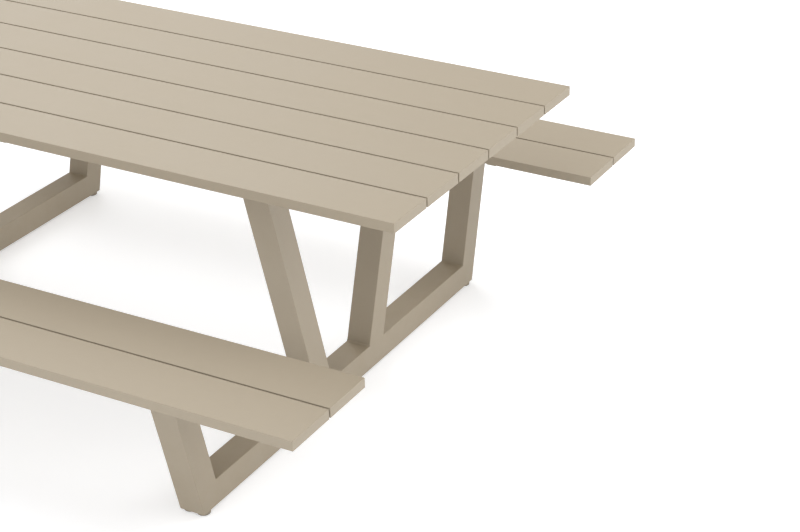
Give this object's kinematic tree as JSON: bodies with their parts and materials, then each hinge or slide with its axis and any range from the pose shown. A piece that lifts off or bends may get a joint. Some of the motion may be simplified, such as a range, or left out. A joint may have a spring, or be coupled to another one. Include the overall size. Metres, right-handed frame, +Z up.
{
  "type": "picnic table",
  "caption": "Picnic table with fixed benches: hollow metal planks on trestles of square tube, with leaning legs, a base rail and screw-in feet.",
  "frame": {"origin": "on the ground, midway between the trestles and midway between the benches", "axes": "+X along the planks, +Y towards the back bench, +Z up"},
  "size_m": [2.2, 1.77, 0.762],
  "materials": {
    "plank_coat": "matte fine-textured powder coat, sand beige",
    "frame_coat": "matte fine-textured powder coat, sand beige",
    "screw": "stainless steel",
    "insert": "zinc-plated steel",
    "foot": "moulded plastic in the frame's colour"
  },
  "bodies": {
    "table": {"back_bench_bar_left": "frame_coat", "back_bench_bar_right": "frame_coat", "back_bench_batten_left": "frame_coat", "back_bench_batten_middle": "frame_coat", "back_bench_batten_right": "frame_coat", "back_bench_end_plates_left": "plank_coat", "back_bench_end_plates_right": "plank_coat", "back_bench_leg_left": "frame_coat", "back_bench_leg_right": "frame_coat", "back_bench_plank_inner": "plank_coat", "back_bench_plank_outer": "plank_coat", "back_bench_rivet_nuts": "insert", "back_bench_screws": "screw", "back_table_leg_left": "frame_coat", "back_table_leg_right": "frame_coat", "base_rail_left": "frame_coat", "base_rail_right": "frame_coat", "foot_bushes_left": "insert", "foot_bushes_right": "insert", "front_bench_bar_left": "frame_coat", "front_bench_bar_right": "frame_coat", "front_bench_batten_left": "frame_coat", "front_bench_batten_middle": "frame_coat", "front_bench_batten_right": "frame_coat", "front_bench_end_plates_left": "plank_coat", "front_bench_end_plates_right": "plank_coat", "front_bench_leg_left": "frame_coat", "front_bench_leg_right": "frame_coat", "front_bench_plank_inner": "plank_coat", "front_bench_plank_outer": "plank_coat", "front_bench_rivet_nuts": "insert", "front_bench_screws": "screw", "front_table_leg_left": "frame_coat", "front_table_leg_right": "frame_coat", "tabletop_bar_left": "frame_coat", "tabletop_bar_right": "frame_coat", "tabletop_batten_left": "frame_coat", "tabletop_batten_middle": "frame_coat", "tabletop_batten_right": "frame_coat", "tabletop_end_plates_left": "plank_coat", "tabletop_end_plates_right": "plank_coat", "tabletop_plank_1": "plank_coat", "tabletop_plank_2": "plank_coat", "tabletop_plank_3": "plank_coat", "tabletop_plank_4": "plank_coat", "tabletop_plank_5": "plank_coat", "tabletop_plank_6": "plank_coat", "tabletop_rivet_nuts": "insert", "tabletop_screws": "screw"},
    "foot_back_left_inner": {"foot_back_left_inner": "foot"},
    "foot_back_left_outer": {"foot_back_left_outer": "foot"},
    "foot_back_right_inner": {"foot_back_right_inner": "foot"},
    "foot_back_right_outer": {"foot_back_right_outer": "foot"},
    "foot_front_left_inner": {"foot_front_left_inner": "foot"},
    "foot_front_left_outer": {"foot_front_left_outer": "foot"},
    "foot_front_right_inner": {"foot_front_right_inner": "foot"},
    "foot_front_right_outer": {"foot_front_right_outer": "foot"}
  },
  "joints": [
    {"name": "foot_back_left_inner_turn", "type": "hinge", "parent": "table", "child": "foot_back_left_inner", "pos_m": [-0.6445, 0.6505, 0.008], "axis": [0, 0, -1], "range_deg": [0, 2160]},
    {"name": "foot_back_left_outer_turn", "type": "hinge", "parent": "table", "child": "foot_back_left_outer", "pos_m": [-0.6815, 0.6505, 0.008], "axis": [0, 0, -1], "range_deg": [0, 2160]},
    {"name": "foot_back_right_inner_turn", "type": "hinge", "parent": "table", "child": "foot_back_right_inner", "pos_m": [0.6445, 0.6505, 0.008], "axis": [0, 0, -1], "range_deg": [0, 2160]},
    {"name": "foot_back_right_outer_turn", "type": "hinge", "parent": "table", "child": "foot_back_right_outer", "pos_m": [0.6815, 0.6505, 0.008], "axis": [0, 0, -1], "range_deg": [0, 2160]},
    {"name": "foot_front_left_inner_turn", "type": "hinge", "parent": "table", "child": "foot_front_left_inner", "pos_m": [-0.6445, -0.6505, 0.008], "axis": [0, 0, -1], "range_deg": [0, 2160]},
    {"name": "foot_front_left_outer_turn", "type": "hinge", "parent": "table", "child": "foot_front_left_outer", "pos_m": [-0.6815, -0.6505, 0.008], "axis": [0, 0, -1], "range_deg": [0, 2160]},
    {"name": "foot_front_right_inner_turn", "type": "hinge", "parent": "table", "child": "foot_front_right_inner", "pos_m": [0.6445, -0.6505, 0.008], "axis": [0, 0, -1], "range_deg": [0, 2160]},
    {"name": "foot_front_right_outer_turn", "type": "hinge", "parent": "table", "child": "foot_front_right_outer", "pos_m": [0.6815, -0.6505, 0.008], "axis": [0, 0, -1], "range_deg": [0, 2160]}
  ]
}
